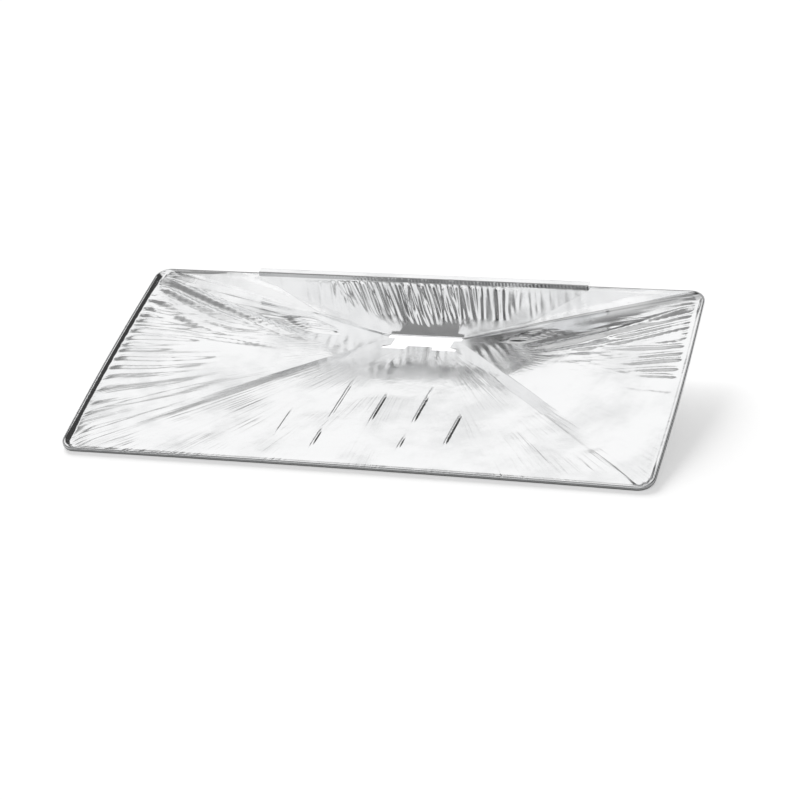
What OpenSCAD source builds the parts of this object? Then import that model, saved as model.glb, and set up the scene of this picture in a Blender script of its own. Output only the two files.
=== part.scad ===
// Foil drip pan: one sheet of foil pressed into a shallow funnel with a rolled rim.
// The front panel slopes down to a drain slot at the foot of a steep back wall, and a
// triangular panel closes each side. The pan lies as it comes to rest, on the front of
// its rim and on the drain, with the origin under the middle of its outline.

/* [Pan] */
// Width of the pan across its rolled rim
pan_w = 600; // [520:1:700]
// Length of the pan from the front of the rim to the back
pan_l = 292; // [262:1:340]
// Depth from the top of the rim to the foot of the back wall
pan_depth = 62; // [48:1:72]
// Radius of the rim at the corners of the pan
corner_r = 16; // [13:1:22]
// How far the sides of the rim bulge out between the corners
side_bow = 2; // [0:0.5:4]
// How far the front of the rim bends in between the corners
front_bow = 2; // [0:0.5:4]
// Thickness of the foil
foil_t = 0.12; // [0.09:0.01:0.2]

/* [Rim] */
// Height of the rolled bead round the rim
bead_h = 4.8; // [4:0.2:5.8]
// Width of the rolled bead, which is pressed flat at its sides
bead_w = 2.6; // [2:0.2:3.6]
// Width of the raised hook flange on the back rim
flange_w = 358; // [300:1:400]
// Height of the hook flange above the top of the bead
flange_rise = 5; // [3:0.5:7]
// Depth of the hook flange from its riser to its outer edge
flange_l = 7.5; // [6:0.5:9]
// Height of the hem folded under the outer edge of the flange
hem_h = 1.2; // [0.8:0.1:1.6]

/* [Drain] */
// Width of the drain slot
drain_w = 80; // [70:1:92]
// Length of the drain slot from front to back
drain_l = 29; // [24:1:32]
// Distance from the outside of the back rim to the drain slot
drain_inset = 20; // [17:1:26]
// Flat border between the drain slot and the creases of the panels
drain_land = 3; // [2:0.5:4]
// Width of the tab left on the front edge of the slot
front_tab_w = 28; // [20:1:34]
// Length of the tab left on the front edge of the slot
front_tab_l = 7; // [5:1:9]
// Width of the tab left on each end of the slot
end_tab_w = 17; // [12:1:19]
// Length of the tab left on each end of the slot
end_tab_l = 8; // [5:1:10]

/* [Folds] */
// Lift of the front panel where it turns down to the drain and to the side creases
lip_lift = 5; // [2:0.5:8]
// Height of the gathers in the back wall, from trough to crest
gather_h = 2.4; // [1:0.1:3]
// Width of the gathered stretch of the back wall
gather_w = 236; // [200:1:260]
// Height of the creases that fan across the side panels
fan_h = 1.8; // [0.8:0.1:2.4]
// Height of the faint creases in the front panel
ripple_h = 0.5; // [0.2:0.1:0.8]
// Height of the soft filling where the foil is not pressed home in the back left valley
valley_h = 4; // [1:0.5:6]
// Height of the pleats drawn into the corners of the rim
pleat_h = 1.6; // [0.6:0.1:2.2]

/* [Pressings] */
// Height of the short ribs pressed into the front panel
rib_h = 1.2; // [0.6:0.1:1.6]
// Width of a rib at its foot
rib_w = 3.6; // [3:0.1:4.4]
// Distance between neighbouring ribs
rib_pitch = 43; // [38:1:46]
// Height of the oval boss beside each end of the drain
boss_h = 3; // [1.5:0.1:4]
// Length of the oval boss
boss_l = 66; // [54:1:74]
// Width of the oval boss
boss_w = 20; // [14:1:24]
// Distance of each boss from the middle of the pan
boss_x = 118; // [108:1:128]

/* [Hidden] */

// Share of the way from the drain to the rim for each ring of the front, side and back
front_v = [0, 0.07, 0.17, 0.32, 0.355, 0.44, 0.475, 0.595, 0.635, 0.745, 0.775, 0.85, 1];
side_v = [0, 0.06, 0.14, 0.2, 0.26, 0.32, 0.38, 0.46, 0.56, 0.68, 0.8, 0.92, 1];
back_v = [0, 0.1, 0.2, 0.3, 0.38, 0.46, 0.54, 0.62, 0.7, 0.78, 0.86, 0.93, 1];
panel_rings = len(side_v);
// Directions round the bead in degrees, from its inside over the top to its tucked edge
bead_turn = [90, 45, 0, -50, -110];
bead_start = 135;

// Numbers of fold lines along the front, each side, the back and round each corner
front_lines = 42;
side_lines = 22;
back_lines = 50;
corner_lines = 5;

// Plan of the slot and of the creases round it
slot_back = pan_l - drain_inset;
slot_front = slot_back - drain_l;
land_x = drain_w / 2 + drain_land;
land_front = slot_front - drain_land;
land_back = slot_back + drain_land / 2;
land_r = 4;
slot_r = 1;
// Share of each end of the land that the side crease takes up
end_share = 0.72;

// Distances in from the outside of the rim to the start of the bead and of the flange
bead_in = bead_w / 2 * (1 - cos(bead_start));
bead_top = bead_h / 2 * (sin(bead_start) - 1);
straight_x = pan_w / 2 - side_bow - corner_r;

// Ribs: column from the middle, and the first and last ring that the rib stands on
rib_columns = [-2, -1, 0, 1, 2];
rib_group_x = (max(rib_columns) + 0.25) * rib_pitch;
rib_free_v = front_v[3];
ribs = [[-2, 9, 10], [-1, 4, 6], [-1, 10, 10], [0, 6, 7], [1, 6, 7], [1, 10, 10], [2, 8, 10]];

function lerp(a, b, t) = a + (b - a) * t;
function clamp(x) = min(1, max(0, x));
function ease(a, b, x) = let (t = clamp((x - a) / (b - a))) t * t * (3 - 2 * t);
// A repeatable number from 0 to 1 for each whole number
function scatter(n) = let (s = sin(n * 78.233 + 37.1) * 43758.5453) s - floor(s);
// Crests and troughs by turns, each of its own strength
function fold(n) = (n % 2 == 0 ? 1 : -1) * (0.45 + 0.55 * scatter(n));

// Front lines at the rim: two flanks on each rib, and even steps outside the ribs
flank = rib_w / 2;
rib_steps = [-flank, -flank / 3, flank / 3, flank];
rib_lines = [for (c = rib_columns, d = rib_steps) c * rib_pitch + d];
step_n = (front_lines - len(rib_lines)) / 2;
left_group = min(rib_lines) - flank;
right_group = max(rib_lines) + flank;
front_x = concat(
    [for (i = [0:step_n - 1]) lerp(-straight_x, left_group, i / (step_n - 1))],
    rib_lines,
    [for (i = [0:step_n - 1]) lerp(right_group, straight_x, i / (step_n - 1))]
);

// Back lines at the rim, close together in the gathers and at the ends of the flange
gather_lines = 38;
gather_mid = 16;
gather_group_x = gather_w / 2 + gather_mid;
gather_free_v = 0.5;
gather_toe = 0.7;
outer_n = (back_lines - gather_lines) / 2;
step_w = 1.5;
function outer_x(side, i) =
    i == 0 ? straight_x :
    i == 1 ? lerp(flange_w / 2, straight_x, 0.6) :
    i == 2 ? flange_w / 2 + step_w :
    i == 3 ? flange_w / 2 :
    lerp(flange_w / 2, gather_w / 2 + side * gather_mid, (i - 3) / (outer_n - 3));
function gather_x(i) =
    let (even = lerp(1, -1, (i + 0.5) / gather_lines))
    let (drift = (scatter(i + 300) - 0.5) * 0.6 / gather_lines)
    (even + drift) * gather_w / 2 + gather_mid;
back_x = concat(
    [for (i = [0:outer_n - 1]) outer_x(1, i)],
    [for (i = [0:gather_lines - 1]) gather_x(i)],
    [for (i = [outer_n - 1:-1:0]) -outer_x(-1, i)]
);

// Every fold line as [region, place along the region, number], right round the pan
FRONT = 0;
FRONT_RIGHT = 1;
RIGHT = 2;
BACK_RIGHT = 3;
BACK = 4;
BACK_LEFT = 5;
LEFT = 6;
FRONT_LEFT = 7;
function side_t(i) =
    let (even = i / (side_lines - 1))
    i == 0 || i == side_lines - 1 ? even : even + (scatter(i + 500) - 0.5) * 0.5 / side_lines;
lines = concat(
    [for (i = [0:front_lines - 1]) [FRONT, front_x[i], i]],
    [for (i = [1:corner_lines]) [FRONT_RIGHT, i / (corner_lines + 1), i]],
    [for (i = [0:side_lines - 1]) [RIGHT, side_t(i), i]],
    [for (i = [1:corner_lines]) [BACK_RIGHT, i / (corner_lines + 1), i]],
    [for (i = [0:back_lines - 1]) [BACK, back_x[i], i]],
    [for (i = [1:corner_lines]) [BACK_LEFT, 1 - i / (corner_lines + 1), i]],
    [for (i = [side_lines - 1:-1:0]) [LEFT, side_t(i), i]],
    [for (i = [1:corner_lines]) [FRONT_LEFT, 1 - i / (corner_lines + 1), i]]
);
line_n = len(lines);

// Points of the pan's outline, a distance in from the outside of the rim
function corner_point(sx, sy, turn, inset) =
    let (cy = sy < 0 ? corner_r : pan_l - corner_r)
    [sx * (straight_x + (corner_r - inset) * cos(turn)), cy + sy * (corner_r - inset) * sin(turn)];
function rim_xy(l, inset) =
    let (r = l[0], t = l[1])
    let (side_y = lerp(corner_r, pan_l - corner_r, t))
    let (side_x = straight_x + corner_r - inset + side_bow * sin(180 * t))
    r == FRONT ? [t, inset + front_bow * (1 - (t / straight_x) ^ 2)] :
    r == FRONT_RIGHT ? corner_point(1, -1, 90 * (1 - t), inset) :
    r == RIGHT ? [side_x, side_y] :
    r == BACK_RIGHT ? corner_point(1, 1, 90 * t, inset) :
    r == BACK ? [t, pan_l - inset] :
    r == BACK_LEFT ? corner_point(-1, 1, 90 * t, inset) :
    r == LEFT ? [-side_x, side_y] :
    corner_point(-1, -1, 90 * (1 - t), inset);

// Points of the land round the drain slot, on the slope of the front panel
crease_y = lerp(land_front, land_back - land_r, end_share);
function land_corner(sx, turn) =
    [sx * (land_x - land_r + land_r * cos(turn)), land_back - land_r + land_r * sin(turn)];
function land_xy(l) =
    let (r = l[0], t = l[1])
    r == FRONT ? [front_line_x(t, 0), land_front] :
    r == FRONT_RIGHT ? [land_x, lerp(land_front, crease_y, t)] :
    r == FRONT_LEFT ? [-land_x, lerp(land_front, crease_y, t)] :
    r == RIGHT ? [land_x, lerp(crease_y, land_back - land_r, t)] :
    r == LEFT ? [-land_x, lerp(crease_y, land_back - land_r, t)] :
    r == BACK_RIGHT ? land_corner(1, 90 * t) :
    r == BACK_LEFT ? land_corner(-1, 90 * t) :
    [back_line_x(t, 0), land_back];
function slope_z(y) = bead_top - (pan_depth + bead_top) * (y - bead_in) / (land_back - bead_in);

// Lines of a panel keep their distance in its middle group and close up towards the drain
function spread_x(x, v, foot, group, toe, free_v) =
    let (half = lerp(foot, straight_x, v), free = lerp(foot, straight_x, free_v))
    let (inner = group * min(lerp(toe, 1, v), half / free))
    abs(x) <= group
        ? x * inner / group
        : sign(x) * lerp(inner, half, (abs(x) - group) / (straight_x - group));
function front_line_x(x, v) = spread_x(x, v, land_x, rib_group_x, 1, rib_free_v);
function back_line_x(x, v) =
    spread_x(x, v, land_x - land_r, gather_group_x, gather_toe, gather_free_v);

// The riser of the flange stands in from the bead, over the top of the back wall
function on_flange(l) = l[0] == BACK && abs(l[1]) <= flange_w / 2;
function panel_inset(l) = on_flange(l) ? flange_l : bead_in;

// How far each line is inside the front lip: whole across the front, none at the crease
function lip_share(l) =
    l[0] == FRONT ? 1 :
    l[0] == FRONT_RIGHT ? 1 - l[1] :
    l[0] == FRONT_LEFT ? 1 - l[1] : 0;
lip_v = front_v[2];
function lip(l, v) = lip_share(l) * lip_lift * min(v / lip_v, (1 - v) / (1 - lip_v));

// Share of the way out for a ring on any line, passing from panel to panel at the corners
function ring_v(l, ring) =
    let (r = l[0], t = l[1], f = front_v[ring], s = side_v[ring], b = back_v[ring])
    r == FRONT ? f :
    r == BACK ? b :
    r == FRONT_RIGHT || r == FRONT_LEFT ? lerp(f, s, t) :
    r == BACK_RIGHT || r == BACK_LEFT ? lerp(s, b, t) : s;

// A panel point before it is creased
function panel_point(l, v) =
    let (a = land_xy(l), b = rim_xy(l, panel_inset(l)))
    let (top = on_flange(l) ? 0 : bead_top)
    let (straight = lerp(a[0], b[0], v))
    let (x = l[0] == FRONT ? front_line_x(l[1], v) : l[0] == BACK ? back_line_x(l[1], v) : straight)
    [x, lerp(a[1], b[1], v), lerp(slope_z(a[1]), top, v) + lip(l, v)];

// Height of the creases, ribs and bosses above the plain panel
function gather(l, v) =
    let (reach = clamp(1.25 - abs(l[1] - gather_mid) / (gather_w / 2)))
    gather_h / 2 * fold(l[2]) * min(1, 2 * reach) * ease(0.3, 0.6, v) * (1 - ease(0.93, 1, v));
function fan(l, v) =
    let (side = l[0] == LEFT ? 0.5 + 0.5 * l[1] : 0.25 + 0.75 * ease(0.35, 0.7, l[1]))
    fan_h / 2 * fold(l[2] + 60) * side * ease(0.25, 0.86, v) * (v < 1 ? 1 : 0);
function ripple(l, v) =
    let (outside = clamp((abs(l[1]) - rib_group_x) / rib_pitch))
    ripple_h / 2 * fold(l[2] + 120) * outside * ease(0, 0.3, v) * (v < 1 ? 1 : 0);
function on_rib(l, rib, ring) =
    abs(l[1] - rib[0] * rib_pitch) < flank / 2 && ring >= rib[1] && ring <= rib[2];
function rib(l, ring) = max([for (r = ribs) on_rib(l, r, ring) ? rib_h : 0]);
function pleat(l, v) = pleat_h / 2 * (l[2] % 2 == 0 ? 1 : -1) * ease(0.8, 0.92, v) * (v < 1 ? 1 : 0);
function boss(p) =
    let (dx = (abs(p[0]) - boss_x) / (boss_l / 2))
    let (back_y = lerp(land_back, pan_l, (abs(p[0]) - land_x) / (pan_w / 2 - land_x)))
    let (dy = (p[1] - (back_y - boss_w)) / (boss_w / 2))
    boss_h * ease(0, 1, clamp(1.35 - norm([dx, dy])));
// The valley from the foot of the back wall up to a back corner of the rim, and its filling
right_fill = 0.35;
fill_reach = 13;
function valley(p, side, v) =
    let (foot = [side * land_x, land_back, slope_z(land_back)])
    let (run = [side * pan_w / 2, pan_l, 0] - foot)
    let (place = (p - foot) * run / (run * run))
    let (away = norm(p - foot - place * run) / (fill_reach * (0.5 + place)))
    let (ends = ease(0.05, 0.4, place) * (1 - ease(0.72, 1, place)) * (1 - ease(0.9, 1, v)))
    valley_h * (side > 0 ? right_fill : 1) * exp(-away ^ 2) * ends;
function relief(l, ring, p) =
    let (v = ring_v(l, ring), r = l[0])
    let (fill = valley(p, -1, v) + valley(p, 1, v))
    r == FRONT ? ripple(l, v) + rib(l, ring) :
    r == BACK ? gather(l, v) + fill :
    r == RIGHT || r == LEFT ? fan(l, v) + boss(p) + fill : pleat(l, v) + fill;

// Edge of the slot, with a tab at the middle of its front and at the middle of each end
slot_mid = (slot_front + slot_back) / 2;
function slot_y(y) =
    lerp(slot_front, slot_back - slot_r, (y - land_front) / (land_back - land_r - land_front));
function slot_corner(sx, turn) =
    [sx * (drain_w / 2 - slot_r + slot_r * cos(turn)), slot_back - slot_r + slot_r * sin(turn)];
function slot_xy(l) =
    let (r = l[0], a = land_xy(l), x = a[0] * drain_w / 2 / land_x, y = slot_y(a[1]))
    r == FRONT ? [x, slot_front + (abs(x) < front_tab_w / 2 ? front_tab_l : 0)] :
    r == BACK ? [a[0] * (drain_w / 2 - slot_r) / (land_x - land_r), slot_back] :
    r == BACK_RIGHT ? slot_corner(1, 90 * l[1]) :
    r == BACK_LEFT ? slot_corner(-1, 90 * l[1]) :
    [x - sign(x) * (abs(y - slot_mid) < end_tab_w / 2 ? end_tab_l : 0), y];
function slot_point(l) = let (p = slot_xy(l)) [p[0], p[1], slope_z(p[1])];

// Rolled bead, or the riser, top and folded hem of the flange
function bead_point(l, turn) =
    let (p = rim_xy(l, bead_w / 2 * (1 - cos(turn))))
    [p[0], p[1], bead_h / 2 * (sin(turn) - 1)];
function flange_point(l, i) =
    let (steps = [
        [flange_l, flange_rise],
        [flange_l / 2, flange_rise],
        [0, flange_rise],
        [0, flange_rise - hem_h],
        [flange_l * 0.6, flange_rise - hem_h]
    ])
    [l[1], pan_l - steps[i][0], steps[i][1]];
function rim_point(l, i) = on_flange(l) ? flange_point(l, i) : bead_point(l, bead_turn[i]);

// The sheet as rings of points, from the edge of the slot out to the tucked edge
plain = [for (ring = [0:panel_rings - 1]) [for (l = lines) panel_point(l, ring_v(l, ring))]];
function around(i) = (i + line_n) % line_n;
function unit(v) = v / norm(v);
function normal_at(rings, k, i) =
    let (lo = max(0, k - 1), hi = min(len(rings) - 1, k + 1))
    unit(cross(rings[k][around(i + 1)] - rings[k][around(i - 1)], rings[hi][i] - rings[lo][i]));
creased = [for (k = [0:panel_rings - 1]) [for (i = [0:line_n - 1])
    plain[k][i] - relief(lines[i], k, plain[k][i]) * normal_at(plain, k, i)]];
upper = concat(
    [[for (l = lines) slot_point(l)]],
    creased,
    [for (b = [0:len(bead_turn) - 1]) [for (l = lines) rim_point(l, b)]]
);
lower = [for (k = [0:len(upper) - 1]) [for (i = [0:line_n - 1])
    upper[k][i] + foil_t * normal_at(upper, k, i)]];

// The pan tips forward until its front panel lies along the surface under it
rest_tilt = atan((pan_depth - bead_h) / (land_back - bead_w / 2));
tip_cos = cos(rest_tilt);
tip_sin = sin(rest_tilt);
function rest(p) = [p[0], p[1] * tip_cos - p[2] * tip_sin, p[1] * tip_sin + p[2] * tip_cos];
rested = [for (p = concat([for (r = upper) each r], [for (r = lower) each r])) rest(p)];
rested_y = [for (p = rested) p[1]];
rested_z = [for (p = rested) p[2]];
placed = [for (p = rested) p - [0, (min(rested_y) + max(rested_y)) / 2, min(rested_z)]];

ring_n = len(upper);
sheet_n = ring_n * line_n;
function quad(a, b, c, d) = [[c, b, a], [d, c, a]];
// Number of a point of the upper skin, and of the point below it
function up(k, i) = k * line_n + around(i);
function low(k, i) = sheet_n + up(k, i);
last_ring = ring_n - 1;
sheet_faces = [for (k = [0:last_ring - 1], i = [0:line_n - 1])
    each concat(
        quad(up(k, i), up(k + 1, i), up(k + 1, i + 1), up(k, i + 1)),
        quad(low(k, i), low(k, i + 1), low(k + 1, i + 1), low(k + 1, i))
    )];
edge_faces = [for (i = [0:line_n - 1])
    each concat(
        quad(up(0, i), up(0, i + 1), low(0, i + 1), low(0, i)),
        quad(up(last_ring, i), low(last_ring, i), low(last_ring, i + 1), up(last_ring, i + 1))
    )];

module foil_pan() {
    color([0.86, 0.87, 0.88])
        polyhedron(points = placed, faces = concat(sheet_faces, edge_faces), convexity = 10);
}

foil_pan();
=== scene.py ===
import math

import bpy
import numpy as np
from mathutils import Matrix, Vector


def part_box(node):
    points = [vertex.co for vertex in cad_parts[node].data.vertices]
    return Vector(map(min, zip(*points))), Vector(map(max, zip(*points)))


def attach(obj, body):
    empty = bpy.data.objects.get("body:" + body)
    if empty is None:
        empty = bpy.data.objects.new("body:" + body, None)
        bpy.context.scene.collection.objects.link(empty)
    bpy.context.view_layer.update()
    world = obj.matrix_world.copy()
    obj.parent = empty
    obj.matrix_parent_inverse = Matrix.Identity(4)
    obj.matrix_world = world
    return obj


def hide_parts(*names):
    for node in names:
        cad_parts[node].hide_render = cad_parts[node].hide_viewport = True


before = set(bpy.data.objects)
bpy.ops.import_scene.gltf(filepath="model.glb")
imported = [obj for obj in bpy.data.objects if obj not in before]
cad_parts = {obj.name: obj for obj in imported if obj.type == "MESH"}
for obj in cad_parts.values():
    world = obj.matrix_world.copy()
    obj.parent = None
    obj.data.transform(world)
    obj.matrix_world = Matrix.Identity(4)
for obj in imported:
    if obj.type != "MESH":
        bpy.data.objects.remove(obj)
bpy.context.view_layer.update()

bl_info = {
    "name": "Foil drip pan",
    "version": (1, 0, 0),
    "blender": (4, 5, 0),
    "location": "View3D > Sidebar > Foil pan",
    "description": "A drip pan pressed from wrinkled foil, on a pale studio floor",
    "category": "Add Mesh",
}

MM = 0.001

# Regions of the pan, right round from the front
FRONT, FRONT_RIGHT, RIGHT, BACK_RIGHT, BACK, BACK_LEFT, LEFT, FRONT_LEFT = range(8)
CORNERS = (FRONT_RIGHT, BACK_RIGHT, BACK_LEFT, FRONT_LEFT)

# Fold lines in each region, and rings from the drain to the rim
FRONT_LINES, BACK_LINES, RIGHT_LINES, LEFT_LINES, CORNER_LINES = 224, 396, 190, 232, 10
PANEL_RINGS = 45

# Starting numbers of the random draws
FRONT_SEED, GATHER_SEED, LEFT_SEED, RIGHT_SEED = 11, 5, 21, 33

# Ribs in the front panel: column from the middle, front and back end in mm, share of the full height
RIBS = (
    (-2, 56, 94, 0.35),
    (-1, 34, 62, 0.8),
    (-1, 92, 160, 0.5),
    (0, 88, 134, 0.8),
    (1, 40, 58, 0.7),
    (1, 92, 132, 1.0),
    (1, 138, 152, 0.4),
    (2, 54, 102, 1.0),
)

# Creases of the side panels: three points in plan from the rim inward in mm, height and half width in mm
LEFT_CREASES = (
    ((-287, 276), (-196, 253), (-102, 233), 4.2, 3.6),
    ((-282, 264), (-215, 244), (-150, 238), 2.4, 4.0),
    ((-282, 250), (-227, 218), (-164, 220), 2.0, 4.6),
    ((-259, 243), (-215, 228), (-165, 236), 1.2, 3.4),
    ((-295, 243), (-280, 241), (-262, 238), 0.9, 2.0),
    ((-295, 230), (-276, 228), (-256, 226), 1.1, 2.1),
    ((-296, 218), (-276, 217), (-254, 215), 1.2, 2.1),
    ((-297, 206), (-270, 211), (-242, 214), 1.3, 2.2),
    ((-296, 190), (-233, 202), (-118, 216), 1.3, 2.4),
    ((-295, 177), (-251, 190), (-206, 200), 1.2, 2.2),
    ((-295, 166), (-275, 171), (-250, 176), 1.4, 2.1),
    ((-295, 157), (-268, 166), (-240, 175), 0.9, 2.1),
    ((-294, 145), (-240, 161), (-184, 185), 1.0, 2.6),
    ((-293, 131), (-240, 148), (-187, 176), 0.8, 2.8),
    ((-291, 117), (-250, 133), (-212, 150), 0.6, 3.4),
    ((-290, 98), (-240, 124), (-180, 158), 0.5, 4.0),
    ((-287, 76), (-232, 109), (-161, 169), 0.8, 4.0),
    ((-290, 59), (-243, 97), (-186, 143), 0.7, 3.6),
    ((-277, 39), (-230, 80), (-166, 144), 1.0, 3.2),
    ((-270, 28), (-224, 72), (-176, 118), 0.6, 2.6),
)
RIGHT_CREASES = (
    ((288, 270), (208, 247), (102, 240), 2.4, 3.0),
    ((266, 266), (219, 256), (162, 252), 0.8, 2.8),
    ((294, 258), (257, 252), (217, 245), 1.2, 2.2),
    ((292, 247), (248, 240), (196, 238), 1.1, 2.2),
    ((292, 240), (225, 229), (112, 232), 1.2, 2.4),
    ((293, 231), (258, 223), (214, 219), 1.0, 2.2),
    ((292, 223), (263, 218), (227, 215), 1.2, 2.0),
    ((293, 209), (249, 213), (190, 222), 1.1, 2.2),
    ((296, 199), (272, 199), (240, 201), 1.1, 2.0),
    ((296, 188), (252, 191), (212, 194), 1.6, 2.0),
    ((295, 174), (251, 179), (198, 185), 1.1, 2.2),
    ((297, 161), (268, 167), (235, 176), 0.9, 2.2),
    ((296, 139), (262, 148), (220, 164), 0.6, 2.8),
    ((229, 211), (202, 212), (165, 214), 0.6, 2.6),
    ((247, 200), (195, 201), (146, 207), 0.6, 3.0),
)


def lerp(a, b, t):
    return a + (b - a) * t


def ease(a, b, x):
    t = np.clip((x - a) / (b - a), 0, 1)
    return t * t * (3 - 2 * t)


def window(x, start, end, soft):
    """One between start and end, with a soft fall at both."""
    return ease(start - soft / 2, start + soft / 2, x) * (1 - ease(end - soft / 2, end + soft / 2, x))


def fold_profile(x):
    """A narrow crest with a shallow trough on each side, as foil takes when it is pinched."""
    return np.exp(-np.abs(x) ** 1.5) - 0.35 * np.exp(-((np.abs(x) - 2.0) ** 2))


def lattice_noise(x, y, cell, seed):
    """Smooth noise from -1 to 1 over the plan of the pan."""
    rng = np.random.default_rng(seed)
    grid = rng.uniform(-1, 1, (96, 96))
    gx, gy = x / cell + 47.3, y / cell + 41.7
    ix, iy = np.floor(gx).astype(int), np.floor(gy).astype(int)
    fx, fy = gx - ix, gy - iy
    fx, fy = fx * fx * (3 - 2 * fx), fy * fy * (3 - 2 * fy)
    a, b = grid[iy % 96, ix % 96], grid[iy % 96, (ix + 1) % 96]
    c, d = grid[(iy + 1) % 96, ix % 96], grid[(iy + 1) % 96, (ix + 1) % 96]
    return lerp(lerp(a, b, fx), lerp(c, d, fx), fy)


def spaced(weight, low, high, count):
    """Places from low to high, closer together where weight is high."""
    fine = np.linspace(low, high, 4000)
    total = np.concatenate([[0], np.cumsum(weight(fine[:-1]))])
    return np.interp(np.linspace(0, total[-1], count), total, fine)


class PanForm:
    """The plan, slope and rim of the pan in mm, with the middle of the front rim as its origin."""

    def __init__(self, size):
        mm = 1 / MM
        self.w, self.l, self.depth = size.width * mm, size.length * mm, size.depth * mm
        self.corner_r = size.corner_radius * mm
        self.bead_r, self.bead_half = size.bead_height * mm / 2, size.bead_width * mm / 2
        self.side_bow, self.front_bow = size.side_bow * mm, size.front_bow * mm
        self.flange_w, self.flange_l = size.flange_width * mm, size.flange_depth * mm
        self.rise = size.flange_rise * mm
        self.hem_h, self.foil_t = size.hem_height * mm, size.foil_thickness * mm
        self.drain_w, self.drain_l = size.drain_width * mm, size.drain_length * mm
        self.lip_lift = size.lip_lift * mm
        self.slot_back = self.l - size.drain_inset * mm
        self.slot_front = self.slot_back - self.drain_l
        land = 3.0
        self.land_x = self.drain_w / 2 + land
        self.land_front, self.land_back = self.slot_front - land, self.slot_back + land / 2
        self.land_r, self.slot_r, self.end_share = 4.0, 1.0, 0.72
        self.bead_start = math.radians(135)
        self.bead_in = self.bead_half * (1 - math.cos(self.bead_start))
        self.bead_top = self.bead_r * (math.sin(self.bead_start) - 1)
        self.straight_x = self.w / 2 - self.side_bow - self.corner_r
        self.crease_y = lerp(self.land_front, self.land_back - self.land_r, self.end_share)
        self.pitch = size.rib_pitch * mm
        self.rib_group, self.gather_group, self.gather_mid = 2.25 * self.pitch, 134.0, 16.0
        self.tilt = math.atan((self.depth - 2 * self.bead_r) / (self.land_back - self.bead_half))

    def slope_z(self, y):
        fall = (self.depth + self.bead_top) / (self.land_back - self.bead_in)
        return self.bead_top - fall * (y - self.bead_in)

    def spread(self, x, v, foot, group, toe, free_v):
        """Draws the places across a panel together towards the drain, the middle group least."""
        half, free = lerp(foot, self.straight_x, v), lerp(foot, self.straight_x, free_v)
        inner = group * np.minimum(lerp(toe, 1, v), half / free)
        outer = lerp(inner, half, (np.abs(x) - group) / (self.straight_x - group))
        return np.where(np.abs(x) <= group, x * inner / group, np.sign(x) * outer)

    def front_x(self, x, v):
        return self.spread(x, v, self.land_x, self.rib_group, 1.0, 0.32)

    def back_x(self, x, v):
        return self.spread(x, v, self.land_x - self.land_r, self.gather_group, 0.7, 0.5)

    def rim_xy(self, region, t, inset):
        """Plan of the rim for every fold line, a distance in from its outside."""
        r = self.corner_r - inset
        turn = np.where((region == FRONT_RIGHT) | (region == FRONT_LEFT), np.pi / 2 * (1 - t), np.pi / 2 * t)
        right = (region == FRONT_RIGHT) | (region == RIGHT) | (region == BACK_RIGHT)
        sx = np.where(right, 1.0, -1.0)
        sy = np.where((region == FRONT_RIGHT) | (region == FRONT_LEFT), -1.0, 1.0)
        x = sx * (self.straight_x + r * np.cos(turn))
        y = np.where(sy < 0, self.corner_r, self.l - self.corner_r) + sy * r * np.sin(turn)
        side = (region == LEFT) | (region == RIGHT)
        x = np.where(side, sx * (self.straight_x + r + self.side_bow * np.sin(np.pi * t)), x)
        y = np.where(side, lerp(self.corner_r, self.l - self.corner_r, t), y)
        bow = self.front_bow * (1 - (t / self.straight_x) ** 2)
        x = np.where((region == FRONT) | (region == BACK), t, x)
        y = np.where(region == FRONT, inset + bow, np.where(region == BACK, self.l - inset, y))
        return x, y

    def land_xy(self, region, t):
        """Plan of the creases round the drain for every fold line."""
        turn = np.pi / 2 * t
        right = (region == FRONT_RIGHT) | (region == RIGHT) | (region == BACK_RIGHT)
        sx = np.where(right, 1.0, -1.0)
        low = self.land_back - self.land_r
        x = sx * np.full_like(t, self.land_x)
        side = (region == RIGHT) | (region == LEFT)
        y = np.where(side, lerp(self.crease_y, low, t), lerp(self.land_front, self.crease_y, t))
        corner = (region == BACK_RIGHT) | (region == BACK_LEFT)
        x = np.where(corner, sx * (self.land_x - self.land_r + self.land_r * np.cos(turn)), x)
        y = np.where(corner, low + self.land_r * np.sin(turn), y)
        x = np.where(region == FRONT, self.front_x(t, 0.0), np.where(region == BACK, self.back_x(t, 0.0), x))
        y = np.where(region == FRONT, self.land_front, np.where(region == BACK, self.land_back, y))
        return x, y

    def slot_xy(self, region, t, tab):
        """Plan of the edge of the drain slot, with its three tabs."""
        x, y = self.land_xy(region, t)
        x = x * self.drain_w / 2 / self.land_x
        low = self.slot_back - self.slot_r
        land_low = self.land_back - self.land_r
        slot_y = lerp(self.slot_front, low, (y - self.land_front) / (land_low - self.land_front))
        turn = np.pi / 2 * t
        ends = (region == FRONT_RIGHT) | (region == RIGHT) | (region == LEFT) | (region == FRONT_LEFT)
        middle, half = (self.slot_front + self.slot_back) / 2, tab.end_width / 2 / MM
        reach = window(slot_y, middle - half, middle + half, 1.2)
        ex = x - np.sign(x) * reach * tab.end_length / MM
        corner = (region == BACK_RIGHT) | (region == BACK_LEFT)
        cx = np.sign(x) * (self.drain_w / 2 - self.slot_r + self.slot_r * np.cos(turn))
        cy = low + self.slot_r * np.sin(turn)
        half = tab.front_width / 2 / MM
        fy = self.slot_front + window(x, -half, half, 1.6) * tab.front_length / MM
        bx, _ = self.land_xy(region, t)
        bx = bx * (self.drain_w / 2 - self.slot_r) / (self.land_x - self.land_r)
        edge_x = np.where(ends, ex, np.where(corner, cx, np.where(region == BACK, bx, x)))
        edge_y = np.where(ends, slot_y, np.where(corner, cy, np.where(region == BACK, self.slot_back, fy)))
        return edge_x, edge_y

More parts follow.
